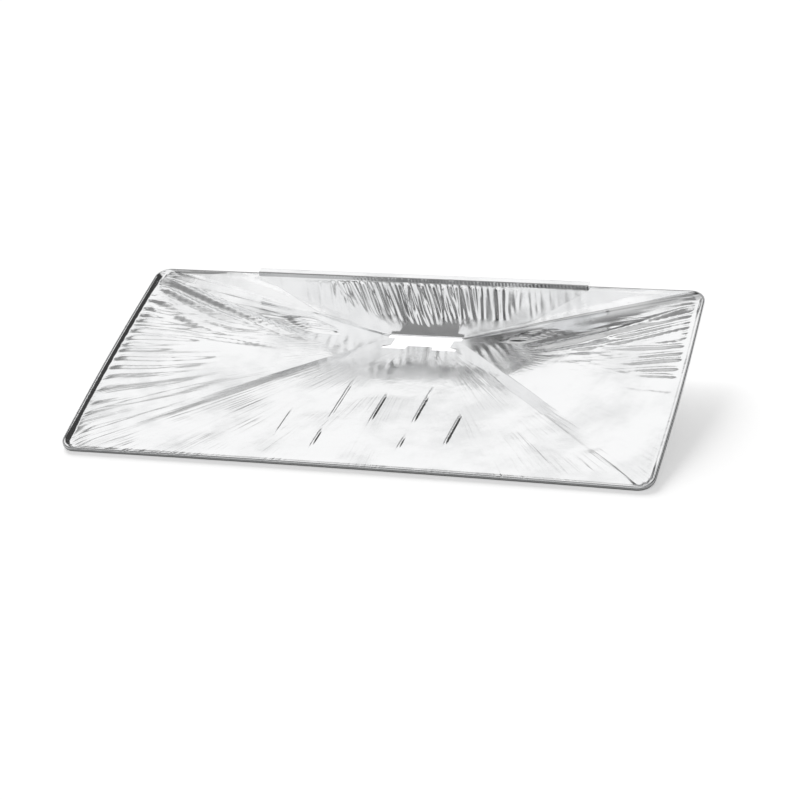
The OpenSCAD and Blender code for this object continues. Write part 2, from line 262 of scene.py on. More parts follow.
    def to_rest(self, p):
        """Tips the pan forward onto its front rim and its drain."""
        c, s = math.cos(self.tilt), math.sin(self.tilt)
        return np.stack([p[..., 0], p[..., 1] * c - p[..., 2] * s, p[..., 1] * s + p[..., 2] * c], -1)


def fold_lines(form):
    """Region and place along the region of every fold line, right round the pan."""
    ribs = np.arange(-2, 3) * form.pitch

    def front_weight(x):
        near = np.min(np.abs(x[:, None] - ribs[None, :]), axis=1)
        return 1 + 4 * (near < 3.2)

    def back_weight(x):
        gathered = np.abs(x - form.gather_mid) < 122
        flanged = np.abs(x) < form.flange_w / 2
        ends = np.abs(np.abs(x) - form.flange_w / 2 - 1) < 3
        return 1 + 0.8 * gathered + 1.8 * flanged + 6 * ends

    front = spaced(front_weight, -form.straight_x, form.straight_x, FRONT_LINES)
    back = spaced(back_weight, -form.straight_x, form.straight_x, BACK_LINES)[::-1]
    right, left = (spaced(lambda t: 1 + 0.5 * (t > 0.35), 0, 1, count) for count in (RIGHT_LINES, LEFT_LINES))
    corner = np.arange(1, CORNER_LINES + 1) / (CORNER_LINES + 1)
    parts = [
        (FRONT, front), (FRONT_RIGHT, corner), (RIGHT, right), (BACK_RIGHT, corner),
        (BACK, back), (BACK_LEFT, corner[::-1]), (LEFT, left[::-1]), (FRONT_LEFT, corner[::-1]),
    ]
    region = np.concatenate([np.full(len(t), r) for r, t in parts])
    return region, np.concatenate([t for _, t in parts])


def ring_places(region, t, count):
    """Share of the way out from the drain for every ring on every fold line."""
    front = spaced(lambda v: 1 + 4 * (v > 0.965), 0, 1, count)
    side = spaced(lambda v: 1 + 0.5 * ((v > 0.12) & (v < 0.42)) + 4 * (v > 0.96), 0, 1, count)
    back = np.linspace(0, 1, count)
    f, s, b = front[:, None], side[:, None], back[:, None]
    toward = np.clip(t, 0, 1)[None, :]
    v = np.where(region == FRONT, f, np.where(region == BACK, b, s))
    v = np.where((region == FRONT_RIGHT) | (region == FRONT_LEFT), lerp(f, s, toward), v)
    return np.where((region == BACK_RIGHT) | (region == BACK_LEFT), lerp(s, b, toward), v)


def plain_panels(form, region, t, v):
    """The four panels before they are creased, as rings by fold lines."""
    on_flange = (region == BACK) & (np.abs(t) <= form.flange_w / 2)
    inset = np.where(on_flange, form.flange_l, form.bead_in)
    ax, ay = form.land_xy(region, t)
    bx, by = form.rim_xy(region, t, inset)
    top = np.where(on_flange, 0.0, form.bead_top)
    straight_x = np.where(region == BACK, form.back_x(t, v), lerp(ax, bx, v))
    x = np.where(region == FRONT, form.front_x(t, v), straight_x)
    front_corner = (region == FRONT_RIGHT) | (region == FRONT_LEFT)
    share = np.where(region == FRONT, 1.0, np.where(front_corner, 1 - t, 0.0))
    crest = 0.17
    tent = np.minimum(v / crest, (1 - v) / (1 - crest))
    soft = tent - 0.05 * np.exp(-((v - crest) / 0.04) ** 2)
    return np.stack([x, lerp(ay, by, v), lerp(form.slope_z(ay), top, v) + share * form.lip_lift * soft], -1)


def line_normals(p):
    """Unit normals of a closed set of rings, pointing out through the underside."""
    along = np.roll(p, -1, axis=1) - np.roll(p, 1, axis=1)
    across = np.empty_like(p)
    across[1:-1] = p[2:] - p[:-2]
    across[0], across[-1] = p[1] - p[0], p[-1] - p[-2]
    n = np.cross(along, across)
    return n / np.linalg.norm(n, axis=-1, keepdims=True)


def front_relief(form, look, x, y, v):
    """Ribs, and faint creases that fan out from the drain, in the front panel."""
    h = np.zeros_like(x)
    for column, start, end, share in RIBS:
        across = (x - column * form.pitch) / (look.rib_width / MM / 2)
        ridge = np.clip(1 - across ** 2, 0, 1) ** 0.8
        h += look.rib_height / MM * share * ridge * window(y, start, end, 5.0)
    rng = np.random.default_rng(FRONT_SEED)
    fan = x / lerp(form.land_x, form.straight_x, v)
    long_creases, lip_creases = 70, 34
    for _ in range(long_creases):
        place, width = rng.uniform(-1, 1), rng.uniform(0.006, 0.016)
        start, length = rng.uniform(0.05, 0.7), rng.uniform(0.15, 0.5)
        height = rng.uniform(0.25, 1.0) * look.ripple_height / MM
        h += height * fold_profile((fan - place) / width) * window(v, start, start + length, 0.15)
    for _ in range(lip_creases):
        place, width = rng.uniform(-1, 1), rng.uniform(0.012, 0.03)
        height = rng.uniform(-1, 1) * look.ripple_height / MM
        h += height * fold_profile((fan - place) / width) * window(v, 0.01, rng.uniform(0.12, 0.26), 0.06)
    return h


def crease(x, y, outer, middle, inner, width):
    """One crease along a bent line in plan, which fades out at its inner end."""
    along = np.abs(x) - abs(inner[0])
    full = abs(outer[0]) - abs(inner[0])
    curve = np.polyfit([outer[0], middle[0], inner[0]], [outer[1], middle[1], inner[1]], 2)
    turn = math.hypot(1, (outer[1] - inner[1]) / (outer[0] - inner[0]))
    run = (y - np.polyval(curve, x)) / turn / width
    fade = ease(0, 0.35 * full, along) * (1 - ease(full, full + 6, along))
    return fold_profile(run) * fade * lerp(0.55, 1, np.clip(along / full, 0, 1))


def side_relief(form, look, creases, x, y, t, v, seed, rim_fade):
    """Creases that run from the side rim down towards the drain."""
    rng = np.random.default_rng(seed)
    place = t * (form.l - 2 * form.corner_r)
    narrow = lerp(0.3, 1.0, v)
    h = np.zeros(np.broadcast(t, v).shape)
    for outer, middle, inner, height, width in creases:
        h += look.crease_height / MM * height * crease(x, y, outer, middle, inner, width)
    stray_creases = 40
    for _ in range(stray_creases):
        centre = rng.uniform(0, 1) * (form.l - 2 * form.corner_r)
        width = rng.uniform(1.6, 3.6)
        start = rng.uniform(0.35, 0.85)
        reach = 0.05 + 0.4 * ease(0.35, 0.65, centre / form.l)
        height = rng.uniform(-0.35, 0.35) * look.crease_height / MM * reach
        end = start + rng.uniform(0.1, 0.5)
        h += height * fold_profile((place - centre) * narrow / width) * window(v, start, end, 0.15)
    return h * (1 - ease(rim_fade, 0.985, v))


def gather_relief(form, look, x, v):
    """Close upright gathers in the upper part of the back wall, in loose bunches."""
    rng = np.random.default_rng(GATHER_SEED)
    bunches, shares = (-62, -26, -2, 22, 52, 86), (0.12, 0.2, 0.2, 0.22, 0.16, 0.1)
    strong_gathers, faint_gathers = 104, 44
    h = np.zeros_like(x)
    for _ in range(strong_gathers):
        bunch = rng.choice(bunches, p=shares)
        top = np.clip(bunch + rng.normal(0, 17), -104, 134)
        strong = math.exp(-((top - 10) / 80) ** 2)
        lean = 0.10 - 0.0026 * (top - 20) + rng.uniform(-0.10, 0.10)
        width = rng.uniform(0.9, 2.0)
        low = rng.uniform(0.22, 0.72) + 0.1 * (1 - strong)
        centre = top + lean * form.depth * (1 - v) + 0.5 * np.sin(5 * v + top)
        height = look.gather_height / MM * rng.uniform(0.3, 1.0)
        height *= (0.25 + 0.75 * strong) * (0.5 + 0.3 * width)
        reach = ease(low - 0.25, low + 0.2, v) * (1 - ease(0.94, 0.985, v))
        h += height * fold_profile((x - centre) / width) * reach
    for _ in range(faint_gathers):
        top = rng.choice((-1, 1)) * rng.uniform(84, 174) + 6
        height = look.gather_height / MM * rng.uniform(0.05, 0.2)
        low = rng.uniform(0.3, 0.75)
        h += height * fold_profile((x - top) / rng.uniform(1.0, 2.2)) * window(v, low, 0.96, 0.2)
    return h


def boss_relief(form, look, x, y):
    """A pressed oval beside each end of the drain, with lines round inside it."""
    back_y = lerp(form.land_back, form.l, (np.abs(x) - form.land_x) / (form.w / 2 - form.land_x))
    dx = (np.abs(x) - look.boss_place / MM) / (look.boss_length / MM / 2)
    dy = (y - (back_y - 20)) / (look.boss_width / MM / 2)
    r = np.sqrt(dx ** 2 + (np.abs(dy) + 0.35 * dx ** 2) ** 2)
    lines = 0.2 * np.cos(17 * r) * (1 - ease(0.9, 1.0, r))
    return look.boss_height / MM * (1 - ease(0.75, 1.15, r) + lines)


def valley_relief(form, p, side, height, width):
    """Fills the valley between the back wall and a side panel, where the foil is not pressed home."""
    foot = np.array([side * form.land_x, form.land_back, form.slope_z(form.land_back)])
    top = np.array([side * form.w / 2, form.l, 0.0])
    along = (top - foot) / np.linalg.norm(top - foot)
    offset = p - foot
    place = offset @ along
    away = np.linalg.norm(offset - place[..., None] * along, axis=-1)
    share = place / np.linalg.norm(top - foot)
    return height * np.exp(-(away / (width * (0.5 + share))) ** 2) * window(share, 0.22, 0.9, 0.35)


def edge_drop(form, region, t, v):
    """How far the panels lie below the bead just inside it, deepest in the corners."""
    side = (region == LEFT) | (region == RIGHT)
    front_corner = (region == FRONT_LEFT) | (region == FRONT_RIGHT)
    along = np.where(side, t, np.where(front_corner, (t - 1) * 0.1, 1 + 0.1 * t))
    front_end = np.exp(-((along - 0.01) / 0.06) ** 2)
    back_end = np.exp(-((along - 1.0) / 0.06) ** 2)
    left = (region == LEFT) | (region == FRONT_LEFT) | (region == BACK_LEFT)
    left_drop = 2.2 + 1.6 * front_end + 1.6 * back_end
    right_drop = 0.8 + 0.9 * front_end + 1.4 * back_end
    level = (region == FRONT) | (region == BACK)
    drop = np.where(level, 0.25, np.where(left, left_drop, right_drop))
    reach = np.where(level, 0.02, np.where(left, 0.03, 0.04))
    return drop * np.exp(-(np.clip(0.984 - v, 0, 1) / reach) ** 2) * (1 - ease(0.984, 1.0, v))


def relief(form, look, region, t, v, p):
    """Height of everything pressed and creased into the panels."""
    x, y = p[..., 0], p[..., 1]
    region, t = np.broadcast_to(region, x.shape), np.broadcast_to(t, x.shape)
    inside = ease(0, 0.06, v) * (1 - ease(0.985, 1.0, v))
    h = np.where(region == FRONT, front_relief(form, look, x, y, v), 0)
    boss = boss_relief(form, look, x, y)
    sides = ((LEFT, LEFT_CREASES, LEFT_SEED, 0.962), (RIGHT, RIGHT_CREASES, RIGHT_SEED, 0.942))
    for side, creases, seed, rim_fade in sides:
        folds = side_relief(form, look, creases, x, y, t, v, seed, rim_fade)
        h = np.where(region == side, folds + boss, h)
    h = np.where(region == BACK, gather_relief(form, look, x, v), h)
    pleats = np.isin(region, CORNERS)
    h = np.where(pleats, look.pleat_height / MM * np.sin(t * 6 * np.pi) * ease(0.78, 0.94, v), h)
    # Soft fillings and narrow ridges of the valleys: side, height and half width in mm
    for side, height, width in ((-1, look.valley_fill / MM, 13), (1, 1.5, 8), (1, 1.3, 1.6), (-1, 0.5, 1.6)):
        h += valley_relief(form, p, side, height, width)
    h -= edge_drop(form, region, t, v)
    broad = 0.6 * lattice_noise(x, y, 46, 3) + 0.3 * lattice_noise(x, y, 19, 4)
    calm = ease(0.0, 0.2, v) * (1 - ease(0.9, 1.0, v))
    return h * inside + look.dent_height / MM * broad * calm


def rim_rings(form, look, region, t):
    """Rolled bead round the rim, with the riser, top and hem of the flange in its place at the back."""
    on_flange = (region == BACK) & (np.abs(t) <= form.flange_w / 2)
    roll_end = 116
    turns = np.radians(np.linspace(roll_end, -roll_end, 17))
    riser = [(1.0, up) for up in (0.15, 0.4, 0.7, 0.94)]
    top = [(back, 1.0) for back in (0.94, 0.7, 0.5, 0.3, 0.15, 0.05)]
    edge = [(0.0, 0.97), (0.0, 0.86)]
    hem = [(back, 1 - form.hem_h / form.rise) for back in (0.02, 0.2, 0.4, 0.55, 0.7)]
    uneven = lattice_noise(t, region * 37.0, 14, 8)
    crimp = np.sin(t * 1.7 + 2.2 * uneven) * (0.4 + 0.6 * np.abs(lattice_noise(t, 0 * t, 9, 12)))
    crimp = look.crimp_depth / MM * crimp * window(t, -form.flange_w / 2, form.flange_w / 2, 8)
    rings = []
    for turn, (back, up) in zip(turns, riser + top + edge + hem):
        groove = 0.22 * math.exp(-((math.degrees(turn) - 12) / 16) ** 2)
        half = form.bead_half * (1 + 0.08 * uneven - groove)
        x, y = form.rim_xy(region, t, form.bead_half - half * math.cos(turn))
        z = form.bead_r * (math.sin(turn) - 1)
        flange_y = form.l - back * form.flange_l - crimp * (back == 1.0)
        pairs = ((t, x), (flange_y, y), (up * form.rise, z))
        rings.append(np.stack([np.where(on_flange, flange, bead) for flange, bead in pairs], -1))
    return rings


def sheet_rings(form, look, tab):
    """Upper and lower skin of the whole sheet, as rings by fold lines, with the ring where the rim starts."""
    region, t = fold_lines(form)
    v = ring_places(region, t, PANEL_RINGS)
    plain = plain_panels(form, region, t, v)
    height = relief(form, look, region[None, :], t[None, :], v, plain)
    creased = plain - height[..., None] * line_normals(plain)
    sx, sy = form.slot_xy(region, t, tab)
    slot = np.stack([sx, sy, form.slope_z(sy)], -1)
    upper = np.concatenate([slot[None], creased, np.stack(rim_rings(form, look, region, t))])
    lower = upper + form.foil_t * line_normals(upper)
    return form.to_rest(upper), form.to_rest(lower), len(v)


def rim_painted_shade(form, rings):
    """Painted dark reflection: one at every point of the rolled bead and of the flange's riser, which the
    foil material colours darker in place of the dark room they reflect; zero on the rest of the rim.
    """
    region, t = fold_lines(form)
    on_flange = (region == BACK) & (np.abs(t) <= form.flange_w / 2 + 1)
    ring = np.arange(rings)[:, None]
    return np.tile(np.where(on_flange, (ring > 0) & (ring < 5), ring > 1).ravel(), 2)


def valley_painted_shade(form, rings):
    """Painted shade along the right valley: one on the middle fold line of the corner at the drain, falling
    off to both sides and to six tenths at the rim.
    """
    region, t = fold_lines(form)
    middle = 5 / (CORNER_LINES + 1)
    line = np.where(region == BACK_RIGHT, np.exp(-((t - middle) / 0.07) ** 2), 0)
    return np.tile(np.outer(np.linspace(1, 0.6, rings), line).ravel(), 2)


def shell(upper, lower):
    """A closed sheet from its two skins, with both of its free edges."""
    rings, lines = upper.shape[:2]
    k, i = np.meshgrid(np.arange(rings - 1), np.arange(lines), indexing="ij")
    j, half = (i + 1) % lines, rings * lines
    skin = np.stack([k * lines + i, (k + 1) * lines + i, (k + 1) * lines + j, k * lines + j], -1)
    skin = skin.reshape(-1, 4)
    i = np.arange(lines)
    j, last = (i + 1) % lines, (rings - 1) * lines
    inner_edge = np.stack([i, j, half + j, half + i], -1)
    outer_edge = np.stack([last + i, half + last + i, half + last + j, last + j], -1)
    points = np.concatenate([upper.reshape(-1, 3), lower.reshape(-1, 3)])
    return points, np.concatenate([skin, half + skin[:, ::-1], inner_edge, outer_edge])


def new_mesh(name, points, faces, painted_shade=None):
    mesh = bpy.data.meshes.new(name)
    mesh.vertices.add(len(points))
    mesh.vertices.foreach_set("co", np.asarray(points, np.float32).ravel())
    mesh.loops.add(faces.size)
    mesh.loops.foreach_set("vertex_index", faces.astype(np.int32).ravel())
    mesh.polygons.add(len(faces))
    mesh.polygons.foreach_set("loop_start", np.arange(len(faces), dtype=np.int32) * faces.shape[1])
    mesh.update(calc_edges=True)
    mesh.validate()
    mesh.shade_smooth()
    mesh.set_sharp_from_angle(angle=math.radians(52))
    # Painted shade: an optional point attribute that darkens the foil's colour on the bead, the flange's
    # riser and the right valley fold
    if painted_shade is not None:
        values = mesh.attributes.new("painted_shade", "FLOAT", "POINT").data
        values.foreach_set("value", painted_shade.astype(np.float32))
    piece = bpy.data.objects.new(name, mesh)
    bpy.context.scene.collection.objects.link(piece)
    return piece


def new_group(name, inputs, outputs):
    """A shader node group with float sockets: its inputs as name and default, and its outputs."""
    group = bpy.data.node_groups.new(name, "ShaderNodeTree")
    for label, default in inputs:
        socket = group.interface.new_socket(label, in_out="INPUT", socket_type="NodeSocketFloat")
        socket.default_value = default
    for label in outputs:
        group.interface.new_socket(label, in_out="OUTPUT", socket_type="NodeSocketFloat")
    return group, group.nodes.new("NodeGroupInput"), group.nodes.new("NodeGroupOutput")


def add_node(tree, kind, inputs=None, **settings):
    """A node with its settings, and its inputs as numbers, colours or outputs of other nodes."""
    node = tree.nodes.new(kind)
    for label, value in settings.items():
        setattr(node, label, value)
    for label, value in (inputs or {}).items():
        if isinstance(value, bpy.types.NodeSocket):
            tree.links.new(value, node.inputs[label])
        else:
            node.inputs[label].default_value = value
    return node


def maths(tree, operation, *values):
    return add_node(tree, "ShaderNodeMath", dict(enumerate(values)), operation=operation).outputs["Value"]


def ramp(tree, value, low, high, start=0.0, end=1.0):
    """A soft change from start to end while the value goes from low to high."""
    inputs = {"Value": value, "From Min": low, "From Max": high, "To Min": start, "To Max": end}
    return add_node(tree, "ShaderNodeMapRange", inputs, interpolation_type="SMOOTHSTEP").outputs["Result"]


def mixed(tree, factor, a, b, data_type="FLOAT"):
    inputs = {"Factor": factor, "A": a, "B": b}
    return add_node(tree, "ShaderNodeMix", inputs, data_type=data_type).outputs["Result"]


def noise(tree, vector, scale, detail, roughness=0.5, distortion=0.0):
    inputs = {"Vector": vector, "Scale": scale, "Detail": detail}
    inputs |= {"Roughness": roughness, "Distortion": distortion}
    return add_node(tree, "ShaderNodeTexNoise", inputs).outputs["Fac"]


def object_place(tree):
    """Where a point lies on the object, in metres."""
    return add_node(tree, "ShaderNodeTexCoord").outputs["Object"]


def crinkle_group():
    """Fine crinkles of handled foil: a height for bump, and a mask of the dull scuffed spots."""
    sockets = [("Crinkle Scale", 90.0), ("Scuff Scale", 14.0)]
    group, given, result = new_group("foil_crinkle", sockets, ["Height", "Scuff"])
    place, scale = object_place(group), given.outputs["Crinkle Scale"]
    inputs = {"Vector": place, "Scale": scale}
    facets = add_node(group, "ShaderNodeTexVoronoi", inputs, feature="F1", distance="EUCLIDEAN")
    waves = noise(group, place, scale, detail=5.0, roughness=0.55, distortion=0.6)
    wave_share = 0.7
    height = mixed(group, wave_share, facets.outputs["Distance"], waves)
    scuffs = noise(group, place, given.outputs["Scuff Scale"], detail=6.0, roughness=0.6)
    group.links.new(height, result.inputs["Height"])
    group.links.new(ramp(group, scuffs, 0.42, 0.68), result.inputs["Scuff"])
    return group


def rolling_group():
    """Faint straight lines that the rolling mill leaves along the foil."""
    group, given, result = new_group("rolling_lines", [("Line Scale", 260.0)], ["Lines"])
    stretch = add_node(group, "ShaderNodeMapping", {"Vector": object_place(group), "Scale": (0.02, 1.0, 1.0)})
    lines = noise(group, stretch.outputs["Vector"], given.outputs["Line Scale"], detail=3.0)
    group.links.new(lines, result.inputs["Lines"])
    return group


def streak_group():
    """Fine streaks that fan out from the drain, broken up along their length."""
    sockets = [("Centre Y", 0.137), ("Streak Scale", 60.0), ("Length Scale", 9.0)]
    group, given, result = new_group("fanned_streaks", sockets, ["Height"])
    place = object_place(group)
    x, y, _ = add_node(group, "ShaderNodeSeparateXYZ", {"Vector": place}).outputs
    ahead = maths(group, "SUBTRACT", given.outputs["Centre Y"], y)
    turn = maths(group, "ARCTAN2", x, ahead)
    squares = [maths(group, "POWER", maths(group, "ABSOLUTE", value), 2) for value in (x, ahead)]
    far = maths(group, "SQRT", maths(group, "ADD", *squares))
    across = maths(group, "MULTIPLY", turn, given.outputs["Streak Scale"])
    along = maths(group, "MULTIPLY", far, given.outputs["Length Scale"])
    polar = add_node(group, "ShaderNodeCombineXYZ", {"X": across, "Y": along})
    streaks = noise(group, polar.outputs["Vector"], 1.0, detail=2.0)
    patches = noise(group, place, 16.0, detail=1.0)
    broken = maths(group, "MULTIPLY", streaks, ramp(group, patches, 0.4, 0.62))
    group.links.new(maths(group, "MULTIPLY", broken, far), result.inputs["Height"])
    return group


def foil_material(finish):
    """Bright foil with dull spots, crinkles and fine lines, with painted shade that darkens the rolled bead,
    the flange's riser and the right valley fold.
    """
    material = bpy.data.materials.new("bright_foil")
    material.use_nodes = True
    tree = material.node_tree
    crinkle = add_node(tree, "ShaderNodeGroup", node_tree=crinkle_group())
    rolling = add_node(tree, "ShaderNodeGroup", node_tree=rolling_group())
    streaks = add_node(tree, "ShaderNodeGroup", node_tree=streak_group())
    # Painted shade: this attribute mixes the foil's colour towards a darker one on the bead, the riser and
    # the right valley fold, in place of dark reflections and fold shade
    shaded = add_node(tree, "ShaderNodeAttribute", attribute_name="painted_shade")
    scuff, lines = crinkle.outputs["Scuff"], rolling.outputs["Lines"]
    plain = mixed(tree, scuff, (*finish.foil_colour, 1.0), (*finish.scuff_colour, 1.0), "RGBA")
    colour = mixed(tree, shaded.outputs["Fac"], plain, (*finish.painted_shade_colour, 1.0), "RGBA")
    gloss_range = {"Value": scuff, "To Min": finish.gloss_roughness, "To Max": finish.scuff_roughness}
    gloss = add_node(tree, "ShaderNodeMapRange", gloss_range).outputs["Result"]
    line_roughness, line_height = 0.06, 0.12
    roughness = maths(tree, "MULTIPLY_ADD", lines, line_roughness, gloss)
    height = maths(tree, "MULTIPLY_ADD", lines, line_height, crinkle.outputs["Height"])
    fan = {"Strength": 1.0, "Distance": finish.streak_depth, "Height": streaks.outputs["Height"]}
    fanned = add_node(tree, "ShaderNodeBump", fan).outputs["Normal"]
    fine = {"Strength": finish.crinkle_strength, "Distance": finish.crinkle_depth, "Height": height}
    crinkled = add_node(tree, "ShaderNodeBump", {**fine, "Normal": fanned}).outputs["Normal"]
    shader = tree.nodes["Principled BSDF"]
    shader.inputs["Metallic"].default_value = 1.0
    for label, value in (("Base Color", colour), ("Roughness", roughness), ("Normal", crinkled)):
        tree.links.new(value, shader.inputs[label])
    return material


def floor_material(studio):
    """A pale floor that reads as the white background and keeps the pan's shadow, with painted shade near and
    under the pan in the foil's reflections and painted light round the drain for the camera.
    """
    material = bpy.data.materials.new("studio_floor")
    material.use_nodes = True
    tree = material.node_tree
    tree.nodes.remove(tree.nodes["Principled BSDF"])
    rays = add_node(tree, "ShaderNodeLightPath")
    matt = add_node(tree, "ShaderNodeBsdfDiffuse", {"Color": (*studio.floor_colour, 1.0)})
    # Painted shade: as the foil reflects it, the floor's added white is darkened by ambient occlusion near
    # the pan and under it
    shade = add_node(tree, "ShaderNodeAmbientOcclusion", {"Distance": studio.shade_reach}, samples=6)
    shade_contrast = 8.0
    painted_floor_shade = maths(tree, "POWER", shade.outputs["AO"], shade_contrast)
    reflected = maths(tree, "MULTIPLY", rays.outputs["Is Glossy Ray"], painted_floor_shade)
    # Painted light: for the camera the floor's added white rises to full strength within a few centimetres of
    # the point under the drain, so the floor in the pan's shadow shows white through the slot
    from_drain = {0: object_place(tree), 1: (0.0, 0.12, 0.0)}
    apart = add_node(tree, "ShaderNodeVectorMath", from_drain, operation="DISTANCE").outputs["Value"]
    painted_light_near_drain = ramp(tree, apart, 0.05, 0.12, 1.0, studio.floor_lift)
    seen = maths(tree, "MULTIPLY", rays.outputs["Is Camera Ray"], painted_light_near_drain)
    level = maths(tree, "MULTIPLY_ADD", reflected, studio.floor_lift, seen)
    glow = add_node(tree, "ShaderNodeEmission", {"Color": (1, 1, 1, 1), "Strength": level})
    both = add_node(tree, "ShaderNodeAddShader", {0: matt.outputs["BSDF"], 1: glow.outputs["Emission"]})
    tree.links.new(both.outputs["Shader"], tree.nodes["Material Output"].inputs["Surface"])
    return material


def studio_world(studio):
    """White to the camera, and to the foil a white room with dark stretches low down and overhead."""
    world = bpy.data.worlds.new("studio_world")
    bpy.context.scene.world = world
    world.use_nodes = True
    tree = world.node_tree
    rays = add_node(tree, "ShaderNodeLightPath")
    direction = add_node(tree, "ShaderNodeTexCoord").outputs["Generated"]
    x, y, z = add_node(tree, "ShaderNodeSeparateXYZ", {"Vector": direction}).outputs

    # Dark low wall behind, which rises in two steps to the right
    steps = maths(tree, "ADD", ramp(tree, x, -0.20, 0.12, 0.0, 0.33), ramp(tree, x, 0.15, 0.45, 0.0, 0.35))
    behind = ramp(tree, maths(tree, "SUBTRACT", z, steps), 0.24, 0.48, studio.back_level, 1.0)

    # Pale low wall in front, which darkens to both sides
    sideways = maths(tree, "ABSOLUTE", x)
    low_front = ramp(tree, sideways, 0.25, 0.62, studio.front_level, studio.side_level)
    front = mixed(tree, ramp(tree, z, 0.46, 0.76), low_front, 1.0)
    walls = mixed(tree, ramp(tree, y, -0.35, 0.10), front, behind)

    # Dark strip overhead from front to back, with a greyer stretch to the left of it
    far_left = ramp(tree, y, -0.55, -0.25, studio.strip_level, studio.left_level)
    left = mixed(tree, ramp(tree, x, -0.47, -0.38), far_left, studio.strip_level)
    strip = mixed(tree, ramp(tree, x, -0.21, -0.11), left, 1.0)
    strip_ends = maths(tree, "ADD", ramp(tree, y, 0.28, 0.44), ramp(tree, y, -0.80, -0.70, 1.0, 0.0))

    # Dark bar overhead from left to right
    bar_width = maths(tree, "MULTIPLY", ramp(tree, y, 0.29, 0.34), ramp(tree, y, 0.42, 0.48, 1.0, 0.0))
    bar_length = maths(tree, "MULTIPLY", ramp(tree, x, -0.62, -0.52), ramp(tree, x, 0.05, 0.15, 1.0, 0.0))
    bar = mixed(tree, maths(tree, "MULTIPLY", bar_width, bar_length), 1.0, studio.bar_level)

    overhead = maths(tree, "MULTIPLY", mixed(tree, strip_ends, strip, 1.0), bar)
    room = maths(tree, "MULTIPLY", walls, overhead)
    lit = mixed(tree, rays.outputs["Is Glossy Ray"], studio.fill_level, room)
    background = tree.nodes["Background"]
    background.inputs["Color"].default_value = (1, 1, 1, 1)
    tree.links.new(mixed(tree, rays.outputs["Is Camera Ray"], lit, 1.0), background.inputs["Strength"])


def key_light(studio):
    """A broad even light from behind on the left, which gives the soft shadow."""
    lamp = bpy.data.lights.new("key_light", "SUN")
    lamp.energy = studio.key_strength
    lamp.angle = studio.key_spread
    holder = bpy.data.objects.new("key_light", lamp)
    holder.rotation_euler = Vector(studio.key_from).to_track_quat("Z", "Y").to_euler()
    holder.visible_glossy = False
    bpy.context.scene.collection.objects.link(holder)


def length_prop(name, description, default):
    return bpy.props.FloatProperty(
        name=name, description=description, default=default, precision=5, unit="LENGTH"
    )


def level_prop(name, description, default):
    return bpy.props.FloatProperty(name=name, description=description, default=default)


def share_prop(name, description, default):
    return bpy.props.FloatProperty(name=name, description=description, default=default, subtype="FACTOR")


def angle_prop(name, description, degrees):
    turn = math.radians(degrees)
    return bpy.props.FloatProperty(name=name, description=description, default=turn, subtype="ANGLE")


def colour_prop(name, description, default):
    return bpy.props.FloatVectorProperty(
        name=name, description=description, default=default, size=3, min=0, max=1, subtype="COLOR"
    )


def vector_prop(name, description, default, subtype="TRANSLATION"):
    return bpy.props.FloatVectorProperty(
        name=name, description=description, default=default, size=3, subtype=subtype
    )


class PanSizes(bpy.types.PropertyGroup):
    width: length_prop("Width", "Width across the rolled rim", 0.600)
    length: length_prop("Length", "Length from front to back of the rim", 0.292)
    depth: length_prop("Depth", "Depth from the rim to the foot of the back wall", 0.062)
    corner_radius: length_prop("Corner radius", "Radius of the rim at its corners", 0.016)
    side_bow: length_prop("Side bow", "Bulge of the side rims", 0.002)
    front_bow: length_prop("Front bow", "Bend of the front rim", 0.002)
    foil_thickness: length_prop("Foil thickness", "Thickness of the sheet", 0.00012)
    bead_height: length_prop("Bead height", "Height of the rolled bead", 0.0048)
    bead_width: length_prop("Bead width", "Width of the rolled bead", 0.0026)
    flange_width: length_prop("Flange width", "Width of the hook flange", 0.358)
    flange_rise: length_prop("Flange rise", "Height of the hook flange above the bead", 0.005)
    flange_depth: length_prop("Flange depth", "Depth of the hook flange", 0.0075)
    hem_height: length_prop("Hem height", "Height of the folded hem", 0.0012)
    drain_width: length_prop("Drain width", "Width of the drain slot", 0.080)
    drain_length: length_prop("Drain length", "Length of the drain slot", 0.029)
    drain_inset: length_prop("Drain inset", "Distance of the slot from the back", 0.020)
    lip_lift: length_prop("Lip lift", "Lift of the front panel at its lip", 0.005)
    rib_pitch: length_prop("Rib pitch", "Distance between columns of ribs", 0.043)


class SlotTabs(bpy.types.PropertyGroup):
    front_width: length_prop("Front tab width", "Width of the tab on the front edge", 0.028)
    front_length: length_prop("Front tab length", "Length of the tab on the front edge", 0.007)
    end_width: length_prop("End tab width", "Width of the tab on each end", 0.017)
    end_length: length_prop("End tab length", "Length of the tab on each end", 0.008)


class FoldLook(bpy.types.PropertyGroup):
    rib_height: length_prop("Rib height", "Height of the pressed ribs", 0.0012)
    rib_width: length_prop("Rib width", "Width of the pressed ribs", 0.0036)
    ripple_height: length_prop("Ripple height", "Height of faint creases in front", 0.00011)
    crease_height: length_prop("Crease height", "Height of the side creases", 0.0010)
    gather_height: length_prop("Gather height", "Height of the back gathers", 0.0012)
    crimp_depth: length_prop("Crimp depth", "Depth of the crimps in the riser of the flange", 0.00019)
    valley_fill: length_prop("Valley fill", "Height of the soft filling in the left valley", 0.004)
    pleat_height: length_prop("Pleat height", "Height of the corner pleats", 0.0004)
    dent_height: length_prop("Dent height", "Height of broad unevenness", 0.0004)
    boss_height: length_prop("Boss height", "Height of the pressed ovals", 0.0022)
    boss_length: length_prop("Boss length", "Length of the pressed ovals", 0.060)
    boss_width: length_prop("Boss width", "Width of the pressed ovals", 0.017)
    boss_place: length_prop("Boss place", "Distance of the ovals from the middle", 0.118)


